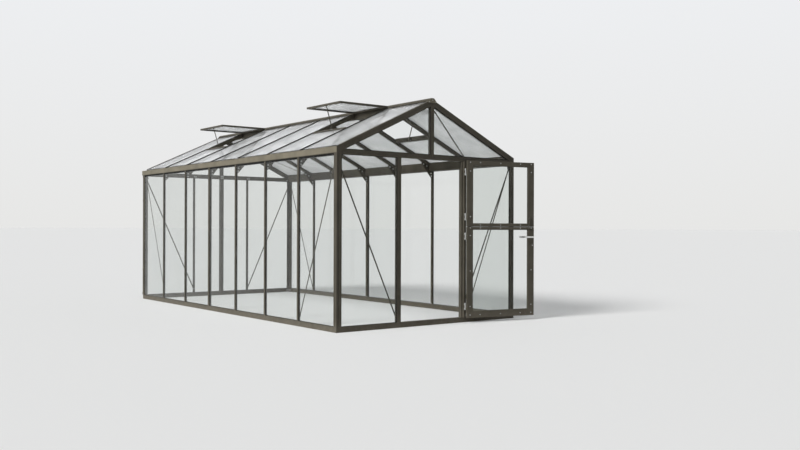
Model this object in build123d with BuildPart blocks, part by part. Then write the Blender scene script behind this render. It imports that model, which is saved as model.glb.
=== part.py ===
"""Glass greenhouse with a two-leaf stable door, built from aluminium bars and toughened glass."""

import os
from math import cos, radians, sin, tan

from build123d import *

# Overall sizes
half_width = 1260.0
bays = 7
bay_module = 740.0
end_margin = 25.0
eave_height = 1903.0
roof_pitch = 25.0

# Base rails and gable frames
base_height = 58.0
base_width = 44.0
corner_post_width = 62.0
corner_post_depth = 54.0
corner_gable_leg = 25.0
corner_wall_leg = 30.0
flute_radius = 11.0
flute_depth = 5.0
groove_width = 8.0
groove_depth = 2.5
door_bay = 912.0
door_post_width = 50.0
gable_depth = 44.0
king_post_width = 46.0
king_lap = 4.0
king_lap_height = 43.0
tie_height = 55.0
tie_drop = 79.0
rake_depth = 63.0
rake_end_plate = 4.0
centre_post_width = 54.0
back_bar_width = 24.0

# Glazing bars, where the cap stands outside the glass and the body inside it
cap_thickness = 4.0
slot_thickness = 5.0
glass_thickness = 4.0
glass_clearance = 0.5
bar_width = 32.0
bar_body = 16.0
bar_neck = 12.0
middle_bar_width = 46.0
middle_bar_body = 21.0
rafter_cap_width = 24.0
rafter_body = 41.0

# Gutters, eaves and downpipes
gutter_wall = 3.0
gutter_height = 68.0
gutter_edge = 5.5
gutter_channel = 52.0
gutter_overhang = 50.0
eave_beam_width = 18.0
eave_beam_drop = 17.0
glass_over_gutter = 16.0
downpipe_radius = 20.0
downpipe_wall = 2.0
downpipe_lift = 2.0
downpipe_offset = 26.0

# Ridge
ridge_body_width = 36.0
ridge_body_drop = 78.0
ridge_capping = 27.0
ridge_flat = 44.0
ridge_ledge_inner = 32.0
ridge_ledge_outer = 46.0
ridge_ledge_drop = 4.0
ridge_shoulder_rise = 13.0
ridge_plate = 4.0
ridge_plate_half = 66.0
ridge_plate_drop = 52.0

# Knee plates and braces
knee_thickness = 6.0
knee_drop = 82.0
knee_foot_width = 18.0
knee_reach = 120.0
knee_cut = 22.0
brace_cut = 36.0
brace_thickness = 4.0
brace_head_gap = 4.0
brace_foot_rise = 14.0
roof_brace_cut = 20.0
seat_gap = 0.3

# Roof vents
vent_length = 676.0
vent_side_gap = 14.0
vent_thickness = 22.0
vent_rail = 34.0
vent_lap = 17.0
vent_glass_set = 7.0
sill_width = 28.0
sill_body = 26.0
sill_upstand = 8.0
sill_upstand_width = 10.0
stay_width = 9.0
stay_from_edge = 17.0
stay_foot_width = 40.0
stay_foot_height = 24.0
stay_foot_reach = 26.0
stay_foot_drop = 4.0
stay_off_middle = 50.0

# Stable door
latch_lap = 19.0
leaf_thickness = 28.0
leaf_gap = 6.0
leaf_sill_lap = 6.0
leaf_head_lap = 13.0
leaf_split = 1088.0
leaf_hinge_stile = 68.0
leaf_lock_stile = 80.0
leaf_top_rail = 52.0
leaf_bottom_rail = 76.0
leaf_mid_rail = 30.0
door_open_angle = 168.0

# Hinges
hinge_offset = 28.0
hinge_edge_gap = 15.0
hinge_face_gap = 1.0
hinge_nose_gap = 10.0
hinge_nose_lead = 9.0
knuckle_radius = 7.0
pin_radius = 3.0
pin_clearance = 0.3
hinge_length = 74.0
fixed_knuckle = 20.0
knuckle_gap = 0.5
hinge_plate = 4.0
hinge_plate_reach = 25.0
hinge_inset_end = 130.0
hinge_inset_split = 110.0

# Lever handle and slide bolt
lever_inset = 35.0
bolt_inset = 64.0
lever_drop = 121.0
spindle_radius = 5.0
spindle_clearance = 0.5
lever_neck_radius = 9.0
lever_neck_gap = 1.0
lever_standoff = 34.0
lever_thickness = 12.0
lever_bar = 18.0
lever_length = 112.0
bolt_radius = 4.0
bolt_standoff = 9.0
bolt_clearance = 0.5
bolt_length = 112.0
bolt_rest_gap = 3.0
bolt_guide_height = 8.0
bolt_guide_width = 16.0
bolt_guide_depth = 16.0
bolt_guide_insets = (12.0, 84.0)
bolt_knob_inset = 64.0
bolt_knob_radius = 3.5
bolt_knob_length = 14.0
keeper_height = 14.0
keeper_drop = 7.0
keeper_clearance = 1.5

# Places worked out from the sizes above
length = bays * bay_module + 2 * end_margin
middle_bar = (bays + 1) // 2
vent_bays = (2, bays - 1)
front_y = -base_width / 2
back_y = front_y + length
slope = tan(radians(roof_pitch))
lean = cos(radians(roof_pitch))
glass_depth = cap_thickness + glass_clearance
body_depth = cap_thickness + slot_thickness
rafter_depth = body_depth + rafter_body
gutter_underside = eave_height - gutter_height
gutter_bend = gutter_edge + gutter_wall * tan(radians(22.5))
beam_inner = gutter_channel + eave_beam_width
tie_underside = eave_height - tie_drop
tie_top = tie_underside + tie_height
eave_beam_underside = gutter_underside - eave_beam_drop
knee_foot = eave_beam_underside - knee_drop
downpipe_end = base_height + downpipe_lift
brace_top = eave_beam_underside - brace_head_gap
brace_foot = base_height + brace_foot_rise
ridge_side = half_width - ridge_body_width / 2
glass_edge = gutter_channel - glass_over_gutter
door_clear = (door_bay - door_post_width) / 2
hinge_x = door_clear + hinge_offset
hinge_y = front_y - leaf_gap - leaf_thickness - hinge_face_gap
leaf_width = hinge_x - hinge_edge_gap + door_clear + latch_lap
leaf_bottom = base_height - leaf_sill_lap
leaf_top = tie_underside + leaf_head_lap
lever_height = leaf_split - lever_drop
bar_depth = body_depth + bar_body
ridge_cut = half_width - king_post_width / 2
leaf_start = hinge_edge_gap
leaf_end = hinge_edge_gap + leaf_width
outer_side = -hinge_face_gap
inner_side = -hinge_face_gap - leaf_thickness
lever_place = leaf_end - lever_inset
bolt_place = leaf_end - bolt_inset
upper_bottom = leaf_split + leaf_gap / 2
lower_top = leaf_split - leaf_gap / 2
leaf_plane = Plane(
    origin=(hinge_x, hinge_y, 0),
    x_dir=(-cos(radians(door_open_angle)), -sin(radians(door_open_angle)), 0),
    z_dir=(0, 0, 1),
)


def station(number):
    """The place along the building of the frame that closes bay number."""
    return front_y + end_margin + number * bay_module


def roof_height(inward, depth):
    """Height of the roof at a distance in from the wall face, at a depth square to its outer face."""
    return eave_height + inward * slope - depth / lean


ridge_seat = roof_height(ridge_cut, 0) + seat_gap / lean
ridge_underside = ridge_seat - ridge_body_drop
ridge_ledge = ridge_seat - ridge_ledge_drop
ridge_shoulder = ridge_ledge + ridge_shoulder_rise
ridge_top = ridge_ledge + ridge_capping


def slope_outline(side, foot, head, top, bottom):
    """Outline of a strip of the roof between two distances in and two depths, with upright ends."""
    x_foot = side * (half_width - foot)
    x_head = side * (half_width - head)
    return [
        (x_head, roof_height(head, top)),
        (x_foot, roof_height(foot, top)),
        (x_foot, roof_height(foot, bottom)),
        (x_head, roof_height(head, bottom)),
    ]


def add_section(points, y_start, y_end, mode=Mode.ADD):
    """Extrude an outline drawn across the building from y_start to y_end."""
    with BuildSketch(Plane.XZ.offset(-y_end)) as outline:
        with BuildLine():
            Polyline(*points, close=True)
        make_face()
    extrude(outline.sketch, amount=y_end - y_start, mode=mode)


def cut_groove(points, face, into):
    """Cut the shallow groove of the bars, drawn across the building, into a gable face."""
    y_pair = sorted((face, face + into * groove_depth))
    add_section(points, *y_pair, mode=Mode.SUBTRACT)


def upright_groove(centre, bottom, top):
    """Outline of a groove that runs up the middle of a bar."""
    left = centre - groove_width / 2
    right = centre + groove_width / 2
    return [(left, bottom), (right, bottom), (right, top), (left, top)]


def add_side_view(points, x_start, x_end):
    """Extrude an outline drawn along the building, as (y, z) points, from x_start to x_end."""
    with BuildSketch(Plane.YZ.offset(x_start)) as outline:
        with BuildLine():
            Polyline(*points, close=True)
        make_face()
    extrude(outline.sketch, amount=x_end - x_start)


def add_box(x_range, y_range, z_range):
    """An upright bar between two corners."""
    with BuildSketch(Plane.XY.offset(z_range[0])) as outline:
        with Locations((sum(x_range) / 2, sum(y_range) / 2)):
            Rectangle(x_range[1] - x_range[0], y_range[1] - y_range[0])
    extrude(outline.sketch, amount=z_range[1] - z_range[0])


def save(piece, name):
    """Label a finished piece and write its file."""
    piece.part.label = name
    export_step(piece.part, f"parts/{name}.step")


def base_rail_front():
    with BuildPart() as base_front:
        add_box((-half_width, half_width), (front_y, front_y + base_width), (0, base_height))
    save(base_front, "base_front")


def base_rail_back():
    with BuildPart() as base_back:
        add_box((-half_width, half_width), (back_y - base_width, back_y), (0, base_height))
    save(base_back, "base_back")


def base_rail_sides():
    with BuildPart() as base_sides:
        for side in (-1, 1):
            x_pair = sorted((side * (half_width - base_width), side * half_width))
            add_box(x_pair, (front_y + base_width, back_y - base_width), (0, base_height))
    save(base_sides, "base_sides")


def corner_post_set(front, name):
    """Two angle posts on the base ring under the rake ends, with a flute up each outer face."""
    outer_face = front_y if front else back_y
    into = 1 if front else -1
    beyond = flute_radius - flute_depth
    with BuildPart() as corner_posts:
        for side in (-1, 1):
            gable_leg = sorted((outer_face, outer_face + into * corner_gable_leg))
            wall_leg = sorted((outer_face, outer_face + into * corner_post_depth))
            across = sorted((side * (half_width - corner_post_width), side * half_width))
            beside = sorted((side * (half_width - corner_wall_leg), side * half_width))
            add_box(across, gable_leg, (base_height, gutter_underside))
            add_box(beside, wall_leg, (base_height, gutter_underside))
        for side in (-1, 1):
            gable_middle = side * (half_width - corner_post_width / 2)
            wall_middle = outer_face + into * corner_post_depth / 2
            with BuildSketch(Plane.XY.offset(base_height)) as outline:
                with Locations(
                    (gable_middle, outer_face - into * beyond),
                    (side * (half_width + beyond), wall_middle),
                ):
                    Circle(flute_radius)
            extrude(outline.sketch, amount=gutter_underside - base_height, mode=Mode.SUBTRACT)
    save(corner_posts, name)


def latch_post():
    with BuildPart() as door_post_latch:
        left = -door_clear - door_post_width
        spread = (front_y, front_y + gable_depth)
        add_box((left, left + door_post_width), spread, (base_height, tie_underside))
        cut_groove(upright_groove(left + door_post_width / 2, base_height, tie_underside), front_y, 1)
    save(door_post_latch, "door_post_latch")


def hinge_post():
    """The post that carries the door, with a nose along its front for the hinges."""
    with BuildPart() as door_post_hinge:
        left = door_clear
        right = left + door_post_width
        spread = (front_y, front_y + gable_depth)
        add_box((left, right), spread, (base_height, tie_underside))
        nose = (hinge_y + hinge_nose_gap, front_y)
        add_box((hinge_x - hinge_nose_lead, right), nose, (base_height, tie_underside))
    save(door_post_hinge, "door_post_hinge")


def gable_tie(front, name):
    """The beam across a gable at eaves height, cut under the rakes at both ends."""
    outer_face = front_y if front else back_y
    into = 1 if front else -1
    y_pair = sorted((outer_face + into * king_lap, outer_face + into * gable_depth))
    inner = corner_post_width
    meet = (tie_top - roof_height(0, rake_depth)) / slope
    with BuildPart() as tie:
        outline = []
        for side in (-1, 1):
            half = [
                (side * (half_width - inner), tie_underside),
                (side * (half_width - inner), roof_height(inner, rake_depth)),
                (side * (half_width - meet), tie_top),
            ]
            outline += half if side < 0 else half[::-1]
        add_section(outline, *y_pair)
        reach = half_width - inner
        groove_foot = tie_underside + (tie_height - groove_width) / 2
        groove_head = groove_foot + groove_width
        groove = [
            (-reach, groove_foot),
            (reach, groove_foot),
            (reach, groove_head),
            (-reach, groove_head),
        ]
        cut_groove(groove, outer_face + into * king_lap, into)
    save(tie, name)


def king_post_front():
    """The short post from the tie beam to the ridge, lapped over the beam's face."""
    with BuildPart() as king_post:
        half = king_post_width / 2
        top = roof_height(ridge_cut, 0)
        add_box((-half, half), (front_y, front_y + gable_depth), (tie_top, top))
        lap = (front_y, front_y + king_lap)
        add_box((-half, half), lap, (tie_top - king_lap_height, tie_top))
        cut_groove(upright_groove(0, tie_top - king_lap_height, top), front_y, 1)
    save(king_post, "king_post_front")


def centre_post_back():
    """The back gable's middle post, cut by the tie beam and running on to the ridge."""
    half = centre_post_width / 2
    top = roof_height(ridge_cut, 0)
    with BuildPart() as centre_post:
        lower = (back_y - gable_depth, back_y)
        add_box((-half, half), lower, (base_height, tie_underside))
        add_box((-half, half), (back_y - king_lap, back_y), (tie_underside, tie_top))
        king = king_post_width / 2
        add_box((-king, king), lower, (tie_top, top))
        cut_groove(upright_groove(0, base_height, top), back_y, -1)
    save(centre_post, "centre_post_back")


def back_glazing_bars():
    """Two slim bars that stand opposite the door posts."""
    with BuildPart() as back_bars:
        for side in (-1, 1):
            centre = side * door_bay / 2
            layers = (
                (back_bar_width, 0, cap_thickness),
                (bar_neck, cap_thickness, body_depth),
                (back_bar_width, body_depth, bar_depth),
            )
            for width, start, end in layers:
                x_pair = (centre - width / 2, centre + width / 2)
                add_box(x_pair, (back_y - end, back_y - start), (base_height, tie_underside))
    save(back_bars, "back_glazing_bars")


def gable_rakes(front, name):
    """The sloping bars of a gable; the front pair also closes the gutters' ends."""
    outer_face = front_y if front else back_y
    into = 1 if front else -1
    full = sorted((outer_face, outer_face + into * gable_depth))
    neck = sorted((outer_face, outer_face + into * (gable_depth - bar_neck)))
    foot_top = roof_height(corner_post_width, rake_depth)
    body = [
        (gutter_channel, gutter_underside),
        (gutter_channel, roof_height(gutter_channel, body_depth)),
        (ridge_cut, roof_height(ridge_cut, body_depth)),
        (ridge_cut, roof_height(ridge_cut, rake_depth)),
        (corner_post_width, foot_top),
        (corner_post_width, gutter_underside),
    ]
    end_plate = [
        (gutter_edge, gutter_underside),
        (0, gutter_underside + gutter_edge),
        (0, eave_height),
        (gutter_channel, roof_height(gutter_channel, 0)),
        (gutter_channel, gutter_underside),
    ]
    with BuildPart() as rakes:
        for side in (-1, 1):
            add_section(slope_outline(side, gutter_channel, ridge_cut, 0, cap_thickness), *full)
            slot = slope_outline(side, gutter_channel, ridge_cut, cap_thickness, body_depth)
            add_section(slot, *neck)
            add_section([(side * (half_width - u), z) for u, z in body], *full)
            if front:
                plate = [(side * (half_width - u), z) for u, z in end_plate]
                add_section(plate, front_y, front_y + rake_end_plate)
            above = (rake_depth - groove_width) / 2
            groove = slope_outline(side, gutter_channel, ridge_cut, above, above + groove_width)
            cut_groove(groove, outer_face, into)
    save(rakes, name)


def side_bars(side, name):
    """Upright glazing bars of a long wall; the middle one is wider."""
    with BuildPart() as bars:
        for number in range(1, bays):
            wide = number == middle_bar
            width = middle_bar_width if wide else bar_width
            body = middle_bar_body if wide else bar_body
            neck = width - bar_width + bar_neck
            layers = (
                (width, 0, cap_thickness, gutter_underside),
                (neck, cap_thickness, body_depth, eave_beam_underside),
                (width, body_depth, body_depth + body, eave_beam_underside),
            )
            for spread, start, end, top in layers:
                x_pair = sorted((side * (half_width - end), side * (half_width - start)))
                y_pair = (station(number) - spread / 2, station(number) + spread / 2)
                add_box(x_pair, y_pair, (base_height, top))
    save(bars, name)


def gutter(side, name):
    """Box gutter and eaves beam in one extrusion, run on past the back wall to its outlet."""
    channel = [
        (gutter_edge, gutter_underside),
        (0, gutter_underside + gutter_edge),
        (0, eave_height),
        (gutter_wall, eave_height),
        (gutter_wall, gutter_underside + gutter_bend),
        (gutter_bend, gutter_underside + gutter_wall),
        (gutter_channel - gutter_wall, gutter_underside + gutter_wall),
        (gutter_channel - gutter_wall, eave_height),
        (gutter_channel, eave_height),
        (gutter_channel, gutter_underside),
    ]
    stop = channel[:3] + channel[-2:]
    beam_head = [
        (gutter_channel, gutter_underside),
        (gutter_channel, roof_height(gutter_channel, body_depth)),
        (beam_inner, roof_height(beam_inner, body_depth)),
        (beam_inner, gutter_underside),
    ]
    beam_foot = [
        (glass_depth, gutter_underside),
        (beam_inner, gutter_underside),
        (beam_inner, eave_beam_underside),
        (glass_depth, eave_beam_underside),
    ]
    far_end = back_y + gutter_overhang
    runs = (
        (channel, front_y + rake_end_plate, far_end),
        (stop, far_end - gutter_wall, far_end),
        (beam_head, front_y + gable_depth, back_y - gable_depth),
        (beam_foot, front_y + corner_post_depth, back_y - corner_post_depth),
    )
    with BuildPart() as gutter_piece:
        for outline, y_start, y_end in runs:
            add_section([(side * (half_width - u), z) for u, z in outline], y_start, y_end)
        with BuildSketch(Plane.XY.offset(gutter_underside)):
            with Locations((side * (half_width - gutter_channel / 2), back_y + downpipe_offset)):
                Circle(downpipe_radius - downpipe_wall)
        extrude(amount=gutter_wall, mode=Mode.SUBTRACT)
    save(gutter_piece, name)


def downpipe_set():
    """The downpipes under the gutters' outlets, behind the back wall."""
    with BuildPart() as downpipes:
        for side in (-1, 1):
            centre = (side * (half_width - gutter_channel / 2), back_y + downpipe_offset)
            with BuildSketch(Plane.XY.offset(downpipe_end)):
                with Locations(centre):
                    Circle(downpipe_radius)
                    Circle(downpipe_radius - downpipe_wall, mode=Mode.SUBTRACT)
            extrude(amount=gutter_underside - downpipe_end)
    save(downpipes, "downpipes")


def ridge_beam():
    """Ridge bar between the gables, with a capping that runs on over the king posts."""
    wing = roof_height(half_width - ridge_ledge_outer, 0) + seat_gap / lean
    right = [
        (king_post_width / 2, ridge_seat),
        (ridge_ledge_outer, wing),
        (ridge_ledge_outer, ridge_ledge),
        (ridge_ledge_inner, ridge_ledge),
        (ridge_ledge_inner, ridge_shoulder),
        (ridge_flat / 2, ridge_top),
    ]
    left = [(-x, z) for x, z in right[::-1]]
    half_body = ridge_body_width / 2
    body = [
        (-half_body, ridge_underside),
        (half_body, ridge_underside),
        (half_body, ridge_seat),
        (-half_body, ridge_seat),
    ]
    with BuildPart() as ridge:
        add_section(right + left, front_y, back_y)
        add_section(body, front_y + gable_depth, back_y - gable_depth)
    save(ridge, "ridge_beam")


def ridge_end_plates():
    """Plates that close the ridge over the king post at each gable."""
    outline = [
        (-ridge_plate_half, ridge_top - ridge_plate_drop),
        (ridge_plate_half, ridge_top - ridge_plate_drop),
        (ridge_flat / 2, ridge_top),
        (-ridge_flat / 2, ridge_top),
    ]
    with BuildPart() as plates:
        add_section(outline, front_y - ridge_plate, front_y)
        add_section(outline, back_y, back_y + ridge_plate)
    save(plates, "ridge_end_plates")


def rafters(side, name):
    """Roof bars, one over each side bar, with a cap over the glass."""
    with BuildPart() as roof_bars:
        for number in range(1, bays):
            centre = station(number)
            layers = (
                (rafter_cap_width, glass_edge, ridge_cut, 0, cap_thickness),
                (bar_neck, glass_edge, ridge_cut, cap_thickness, body_depth),
                (bar_width, beam_inner, ridge_side, body_depth, rafter_depth),
            )
            for width, foot, head, top, bottom in layers:
                outline = slope_outline(side, foot, head, top, bottom)
                add_section(outline, centre - width / 2, centre + width / 2)
    save(roof_bars, name)


def knee_plate_set():
    """Plates that tie each side bar to its rafter, round the eaves beam."""
    reach = beam_inner + knee_reach
    corner = roof_height(reach, rafter_depth)
    with BuildPart() as knees:
        for side in (-1, 1):
            for number in range(1, bays):
                body = middle_bar_body if number == middle_bar else bar_body
                inner = body_depth + body
                points = [
                    (inner, knee_foot),
                    (inner, eave_beam_underside),
                    (beam_inner, eave_beam_underside),
                    (beam_inner, roof_height(beam_inner, rafter_depth)),
                    (reach, corner),
                    (reach + knee_cut * slope, corner - knee_cut),
                    (inner + knee_foot_width, knee_foot),
                ]
                outline = [(side * (half_width - u), z) for u, z in points]
                centre = station(number)
                add_section(outline, centre - knee_thickness / 2, centre + knee_thickness / 2)
    save(knees, "knee_plates")


def wall_braces():
    """Flat diagonals from each corner post's head to the next post's foot, in the current part."""
    for side in (-1, 1):
        for outer_face, into, near_bar in ((front_y, 1, 1), (back_y, -1, bays - 1)):
            near = outer_face + into * (corner_post_depth + seat_gap)
            x_face = half_width - bar_depth - seat_gap
            x_pair = sorted((side * x_face, side * (x_face - brace_thickness)))
            add_side_view(brace_outline(near, station(near_bar)), *x_pair)
            near = side * (half_width - corner_wall_leg - seat_gap)
            seat = gable_depth if into > 0 else max(bar_depth, corner_gable_leg)
            y_face = outer_face + into * (seat + seat_gap)
            y_pair = sorted((y_face, y_face + into * brace_thickness))
            add_section(brace_outline(near, side * door_bay / 2), *y_pair)


def brace_outline(near, far):
    """Outline of a wall brace from its high end to its low end."""
    return [
        (near, brace_top),
        (near, brace_top - brace_cut),
        (far, brace_foot),
        (far, brace_foot + brace_cut),
    ]


def roof_braces():
    """Flat diagonals in the end bays of the roof, from the ridge to the eaves, in the current part."""
    rise = sin(radians(roof_pitch))
    foot = (beam_inner + seat_gap + brace_thickness * rise) / lean
    top = (ridge_side - seat_gap) / lean
    for side in (-1, 1):
        for outer_face, into, near_bar in ((front_y, 1, 1), (back_y, -1, bays - 1)):
            y_top = outer_face + into * (gable_depth + seat_gap)
            y_foot = station(near_bar) - into * (bar_width / 2 + seat_gap)
            corners = (
                (top, y_top),
                (top, y_top + into * roof_brace_cut),
                (foot, y_foot),
                (foot, y_foot - into * roof_brace_cut),
            )
            roof_plane = Plane(
                origin=(side * half_width, 0, roof_height(0, rafter_depth)),
                x_dir=(-side * lean, 0, rise),
                z_dir=(side * rise, 0, lean),
            )
            with BuildSketch(roof_plane) as outline:
                with BuildLine():
                    Polyline(*[(run, -side * y) for run, y in corners], close=True)
                make_face()
            extrude(outline.sketch, amount=brace_thickness)


def brace_set():
    with BuildPart() as braces:
        wall_braces()
        roof_braces()
    save(braces, "braces")


def side_glass():
    """Full-height panes of the long walls, held in the slots of the bars."""
    z_pair = (base_height, eave_beam_underside - glass_clearance)
    with BuildPart() as panes:
        for side in (-1, 1):
            x_pair = sorted(side * (half_width - glass_depth - part) for part in (0, glass_thickness))
            for bay in range(1, bays + 1):
                add_box(x_pair, (side_edge(bay - 1, 1), side_edge(bay, -1)), z_pair)
    save(panes, "glass_sides")


def side_edge(number, sign):
    """Where a wall pane ends beside a bar, or beside a corner post."""
    if number in (0, bays):
        post = (front_y if number == 0 else back_y) + sign * corner_post_depth
        return post + sign * glass_clearance
    spare = middle_bar_width - bar_width if number == middle_bar else 0
    return station(number) + sign * ((bar_neck + spare) / 2 + 2 * glass_clearance)


def gable_panes(outer_face, into, bay_edges):
    """Panes below the tie beam and the triangles above it, inside the current part."""
    y_near = outer_face + into * glass_depth
    y_pair = sorted((y_near, y_near + into * glass_thickness))
    for x_start, x_end in bay_edges:
        z_pair = (base_height, tie_underside - glass_clearance)
        add_box((x_start, x_end), y_pair, z_pair)
    under = rake_depth + glass_clearance
    low = tie_top + glass_clearance
    start = (low - roof_height(0, under)) / slope
    king = ridge_cut - glass_clearance
    for side in (-1, 1):
        outline = [
            (side * (half_width - start), low),
            (side * (half_width - king), low),
            (side * (half_width - king), roof_height(king, under)),
        ]
        add_section(outline, *y_pair)


def front_glass():
    with BuildPart() as panes:
        outer = half_width - corner_post_width - glass_clearance
        inner = door_clear + door_post_width + glass_clearance
        gable_panes(front_y, 1, ((-outer, -inner), (inner, outer)))
    save(panes, "glass_front")


def back_glass():
    with BuildPart() as panes:
        outer = half_width - corner_post_width - glass_clearance
        bar = door_bay / 2
        slot = bar_neck / 2 + 2 * glass_clearance
        post = centre_post_width / 2 + glass_clearance
        edges = (
            (-outer, -bar - slot),
            (-bar + slot, -post),
            (post, bar - slot),
            (bar + slot, outer),
        )
        gable_panes(back_y, -1, edges)
    save(panes, "glass_back")


def vent_sill_place():
    """Distance in from the wall face of the upstand that a vent closes on."""
    return half_width - ridge_ledge_inner - (vent_length - vent_lap) * lean


def roof_glass():
    """Roof panes between the rafters; a vent's bay is glazed only below its sill."""
    bottom = glass_depth + glass_thickness
    with BuildPart() as panes:
        for side in (-1, 1):
            for bay in range(1, bays + 1):
                upper = vent_sill_place() if bay in vent_bays else ridge_cut
                head = upper - 2 * glass_clearance
                outline = slope_outline(side, glass_edge, head, glass_depth, bottom)
                add_section(outline, roof_edge(bay - 1, 1), roof_edge(bay, -1))
    save(panes, "glass_roof")


def roof_edge(number, sign):
    """Where a roof pane ends beside a rafter, or in a rake's rebate."""
    if number in (0, bays):
        rake = (front_y if number == 0 else back_y) + sign * (gable_depth - bar_neck)
        return rake + sign * 2 * glass_clearance
    return station(number) + sign * (bar_neck / 2 + 2 * glass_clearance)


def vent_edges(bay):
    """The two sides of an opened vent sash along the building."""
    return (station(bay - 1) + vent_side_gap, station(bay) - vent_side_gap)


def vent_sashes(side, name):
    """Vent sashes, held open level with the ridge that they hang from."""
    low = ridge_ledge + seat_gap
    near = ridge_ledge_inner + 2 * seat_gap
    far = near + vent_length
    with BuildPart() as sashes:
        for bay in vent_bays:
            y_start, y_end = vent_edges(bay)
            x_pair = sorted((side * near, side * far))
            add_box(x_pair, (y_start, y_end), (low, low + vent_thickness))
            hole_x = sorted((side * (near + vent_rail), side * (far - vent_rail)))
            with BuildSketch(Plane.XY.offset(low)):
                with Locations(((hole_x[0] + hole_x[1]) / 2, (y_start + y_end) / 2)):
                    Rectangle(vent_length - 2 * vent_rail, y_end - y_start - 2 * vent_rail)
            extrude(amount=vent_thickness, mode=Mode.SUBTRACT)
    save(sashes, name)


def vent_glass():
    with BuildPart() as panes:
        near = ridge_ledge_inner + 2 * seat_gap + vent_rail + glass_clearance
        far = ridge_ledge_inner + 2 * seat_gap + vent_length - vent_rail - glass_clearance
        sash_top = ridge_ledge + seat_gap + vent_thickness
        low = sash_top - vent_glass_set - glass_thickness
        for side in (-1, 1):
            for bay in vent_bays:
                y_start, y_end = vent_edges(bay)
                inset = vent_rail + glass_clearance
                x_pair = sorted((side * near, side * far))
                y_pair = (y_start + inset, y_end - inset)
                add_box(x_pair, y_pair, (low, low + glass_thickness))
    save(panes, "vent_glass")


def vent_sill_set():
    """Cross rails between two rafters, with an upstand that a vent closes over."""
    place = vent_sill_place()
    stop = place + sill_upstand_width
    with BuildPart() as sills:
        for side in (-1, 1):
            for bay in vent_bays:
                y_start = station(bay - 1) + bar_width / 2
                y_end = station(bay) - bar_width / 2
                body_end = body_depth + sill_body
                body = slope_outline(side, stop - sill_width, stop, body_depth, body_end)
                add_section(body, y_start, y_end)
                upstand = slope_outline(side, place, stop, -sill_upstand, body_depth)
                add_section(upstand, y_start, y_end)
    save(sills, "vent_sills")


def vent_stay_set():
    """Stays that hold the vents open, each on a foot fixed to its sill's inner face."""
    sill_face = vent_sill_place() + sill_upstand_width
    foot_top = roof_height(sill_face, body_depth) - stay_foot_drop
    head_z = ridge_ledge + seat_gap
    sash_edge = half_width - ridge_ledge_inner - 2 * seat_gap - vent_length
    head = sash_edge + stay_from_edge
    heel = sill_face + stay_foot_reach - stay_width
    half = stay_width / 2
    with BuildPart() as stays:
        for side in (-1, 1):
            for bay in vent_bays:
                middle = (station(bay - 1) + station(bay)) / 2 + side * stay_off_middle
                bar = (
                    (head - half, head_z),
                    (head + half, head_z),
                    (heel + half, foot_top),
                    (heel - half, foot_top),
                )
                outline = [(side * (half_width - u), z) for u, z in bar]
                add_section(outline, middle - half, middle + half)
                x_pair = sorted(side * (half_width - sill_face - u) for u in (0, stay_foot_reach))
                y_pair = (middle - stay_foot_width / 2, middle + stay_foot_width / 2)
                add_box(x_pair, y_pair, (foot_top - stay_foot_height, foot_top))
    save(stays, "vent_stays")


def add_leaf_box(s_range, t_range, z_range, mode=Mode.ADD):
    """A block in a door leaf's own frame: along the leaf, through it and up."""
    with BuildSketch(leaf_plane.offset(z_range[0])) as outline:
        with Locations((sum(s_range) / 2, sum(t_range) / 2)):
            Rectangle(s_range[1] - s_range[0], t_range[1] - t_range[0])
    extrude(outline.sketch, amount=z_range[1] - z_range[0], mode=mode)


def leaf_frame(z_range, bottom_rail, top_rail):
    """A leaf's frame: stiles and rails round one opening, inside the current part."""
    t_range = (inner_side, outer_side)
    add_leaf_box((leaf_start, leaf_end), t_range, z_range)
    s_range = (leaf_start + leaf_hinge_stile, leaf_end - leaf_lock_stile)
    opening = (z_range[0] + bottom_rail, z_range[1] - top_rail)
    add_leaf_box(s_range, t_range, opening, Mode.SUBTRACT)


def leaf_pane(z_range, bottom_rail, top_rail):
    """The pane of a leaf, in the middle of its frame's thickness, inside the current part."""
    middle = (inner_side + outer_side) / 2
    pane_start = leaf_start + leaf_hinge_stile + glass_clearance
    s_range = (pane_start, leaf_end - leaf_lock_stile - glass_clearance)
    t_range = (middle - glass_thickness / 2, middle + glass_thickness / 2)
    z_pair = (z_range[0] + bottom_rail + glass_clearance, z_range[1] - top_rail - glass_clearance)
    add_leaf_box(s_range, t_range, z_pair)


def cross_plane(s, t, z):
    """A plane square to the leaf, facing its inner side, at a point in the leaf's frame."""
    origin = leaf_plane.from_local_coords((s, t, z))
    return Plane(origin=origin, x_dir=leaf_plane.x_dir, z_dir=-leaf_plane.y_dir)


def upper_leaf():
    rails = ((upper_bottom, leaf_top), leaf_mid_rail, leaf_top_rail)
    with BuildPart() as frame:
        leaf_frame(*rails)
    save(frame, "upper_door_frame")
    with BuildPart() as pane:
        leaf_pane(*rails)
    save(pane, "upper_door_glass")


def lower_leaf():
    rails = ((leaf_bottom, lower_top), leaf_bottom_rail, leaf_mid_rail)
    with BuildPart() as frame:
        leaf_frame(*rails)
        with BuildSketch(cross_plane(lever_place, outer_side, lever_height)):
            Circle(spindle_radius + spindle_clearance)
        extrude(amount=leaf_thickness, mode=Mode.SUBTRACT)
    save(frame, "lower_door_frame")
    with BuildPart() as pane:
        leaf_pane(*rails)
    save(pane, "lower_door_glass")


def hinge_foot_heights():
    """Height of each hinge's lower end, the upper leaf's pair first."""
    half = hinge_length / 2
    upper = (leaf_top - hinge_inset_end - half, leaf_split + hinge_inset_split - half)
    lower = (leaf_split - hinge_inset_split - half, leaf_bottom + hinge_inset_end - half)
    return upper, lower


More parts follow.
